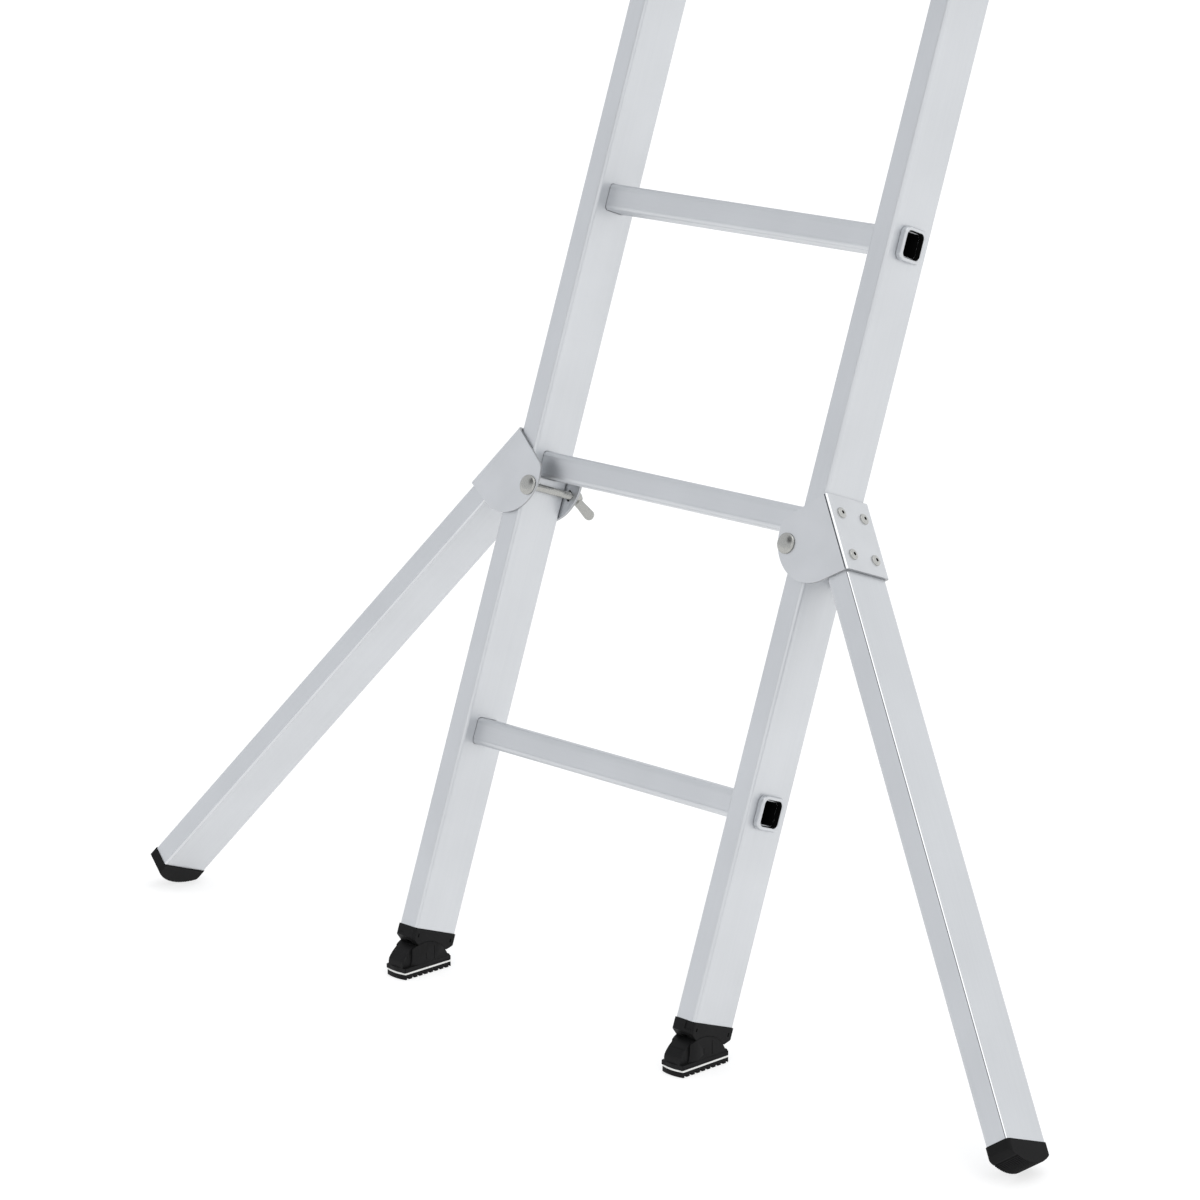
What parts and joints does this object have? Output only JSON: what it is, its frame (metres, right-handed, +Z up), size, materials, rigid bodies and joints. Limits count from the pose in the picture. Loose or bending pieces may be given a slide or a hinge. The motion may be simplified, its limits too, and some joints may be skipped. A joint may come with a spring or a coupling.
{
  "type": "extension ladder",
  "caption": "Push-up extension ladder with box stiles, through-fixed box rungs, folding outriggers with wing nuts and levelling shoes.",
  "frame": {"origin": "on the floor, below the middle of the leaning ladder's bounding box, midway between the stiles", "axes": "+X along the rungs to the climber's right, +Y level from the climber towards the wall, +Z up; the ladder leans 20 degrees towards +Y as in use"},
  "size_m": [1.2316, 1.0896, 3.03],
  "materials": {
    "stile_aluminium": "satin mill-finish extrusion",
    "rung_aluminium": "satin mill-finish extrusion with fine flutes",
    "bracket_aluminium": "smooth bent sheet, bright cut edges",
    "black_plastic": "fine moulded grain",
    "black_rubber": "matt rubber",
    "pale_plastic": "pale wear layer",
    "rivet_steel": "domed blind rivet, satin",
    "lock_steel": "zinc plated plate",
    "zinc_steel": "zinc plated, satin"
  },
  "bodies": {
    "base": {"base_stile_left": "stile_aluminium", "base_stile_right": "stile_aluminium", "base_rung_1": "rung_aluminium", "base_rung_2": "rung_aluminium", "base_rung_3": "rung_aluminium", "base_rung_4": "rung_aluminium", "base_rung_5": "rung_aluminium", "base_rung_6": "rung_aluminium", "base_rung_7": "rung_aluminium", "base_top_cap_left": "black_plastic", "base_top_cap_right": "black_plastic", "base_guide_left": "bracket_aluminium", "base_guide_right": "bracket_aluminium", "shoe_socket_left": "black_plastic", "shoe_socket_right": "black_plastic", "shoe_pin_left": "zinc_steel", "shoe_pin_right": "zinc_steel"},
    "fly": {"fly_stile_left": "stile_aluminium", "fly_stile_right": "stile_aluminium", "fly_rung_1": "rung_aluminium", "fly_rung_2": "rung_aluminium", "fly_rung_3": "rung_aluminium", "fly_rung_4": "rung_aluminium", "fly_rung_5": "rung_aluminium", "fly_rung_6": "rung_aluminium", "fly_rung_7": "rung_aluminium", "fly_top_cap_left": "black_plastic", "fly_top_cap_right": "black_plastic", "fly_bottom_cap_left": "black_plastic", "fly_bottom_cap_right": "black_plastic", "fly_guide_left": "bracket_aluminium", "fly_guide_right": "bracket_aluminium", "lock_pin_left": "zinc_steel", "lock_pin_right": "zinc_steel"},
    "outrigger_left": {"outrigger_bracket_left": "bracket_aluminium", "outrigger_leg_left": "stile_aluminium", "outrigger_foot_left": "black_rubber", "clamp_bolt_left": "zinc_steel", "bracket_rivet_left_1": "rivet_steel", "bracket_rivet_left_2": "rivet_steel", "bracket_rivet_left_3": "rivet_steel", "bracket_rivet_left_4": "rivet_steel"},
    "wing_nut_left": {"wing_nut_left": "zinc_steel"},
    "shoe_left": {"shoe_foot_left": "black_plastic", "shoe_wear_plate_left": "pale_plastic", "shoe_tread_left": "black_rubber"},
    "rung_lock_left": {"rung_lock_left": "lock_steel"},
    "outrigger_right": {"outrigger_bracket_right": "bracket_aluminium", "outrigger_leg_right": "stile_aluminium", "outrigger_foot_right": "black_rubber", "clamp_bolt_right": "zinc_steel", "bracket_rivet_right_1": "rivet_steel", "bracket_rivet_right_2": "rivet_steel", "bracket_rivet_right_3": "rivet_steel", "bracket_rivet_right_4": "rivet_steel"},
    "wing_nut_right": {"wing_nut_right": "zinc_steel"},
    "shoe_right": {"shoe_foot_right": "black_plastic", "shoe_wear_plate_right": "pale_plastic", "shoe_tread_right": "black_rubber"},
    "rung_lock_right": {"rung_lock_right": "lock_steel"}
  },
  "joints": [
    {"name": "fly_slide", "type": "slide", "parent": "base", "child": "fly", "axis": [0, 0.342, 0.9397], "range_m": [-0.56, 0.28]},
    {"name": "outrigger_fold_left", "type": "hinge", "parent": "base", "child": "outrigger_left", "pos_m": [-0.17892, -0.33992, 0.47938], "axis": [0, -0.9397, 0.342], "range_deg": [0, 34.5]},
    {"name": "wing_nut_turn_left", "type": "hinge", "parent": "outrigger_left", "child": "wing_nut_left", "pos_m": [-0.17892, -0.30421, 0.46638], "axis": [0, 0.9397, -0.342], "continuous": true},
    {"name": "shoe_tilt_left", "type": "hinge", "parent": "base", "child": "shoe_left", "pos_m": [-0.1975, -0.51478, 0.0004], "axis": [1, 0, 0], "range_deg": [-20, 7]},
    {"name": "rung_lock_swing_left", "type": "hinge", "parent": "fly", "child": "rung_lock_left", "pos_m": [-0.1803, -0.08419, 1.35449], "axis": [1, 0, 0], "range_deg": [0, 40]},
    {"name": "outrigger_fold_right", "type": "hinge", "parent": "base", "child": "outrigger_right", "pos_m": [0.17892, -0.33992, 0.47938], "axis": [0, 0.9397, -0.342], "range_deg": [0, 34.5]},
    {"name": "wing_nut_turn_right", "type": "hinge", "parent": "outrigger_right", "child": "wing_nut_right", "pos_m": [0.17892, -0.30421, 0.46638], "axis": [0, 0.9397, -0.342], "continuous": true},
    {"name": "shoe_tilt_right", "type": "hinge", "parent": "base", "child": "shoe_right", "pos_m": [0.1975, -0.51478, 0.0004], "axis": [1, 0, 0], "range_deg": [-20, 7]},
    {"name": "rung_lock_swing_right", "type": "hinge", "parent": "fly", "child": "rung_lock_right", "pos_m": [0.1803, -0.08419, 1.35449], "axis": [1, 0, 0], "range_deg": [0, 40]}
  ]
}
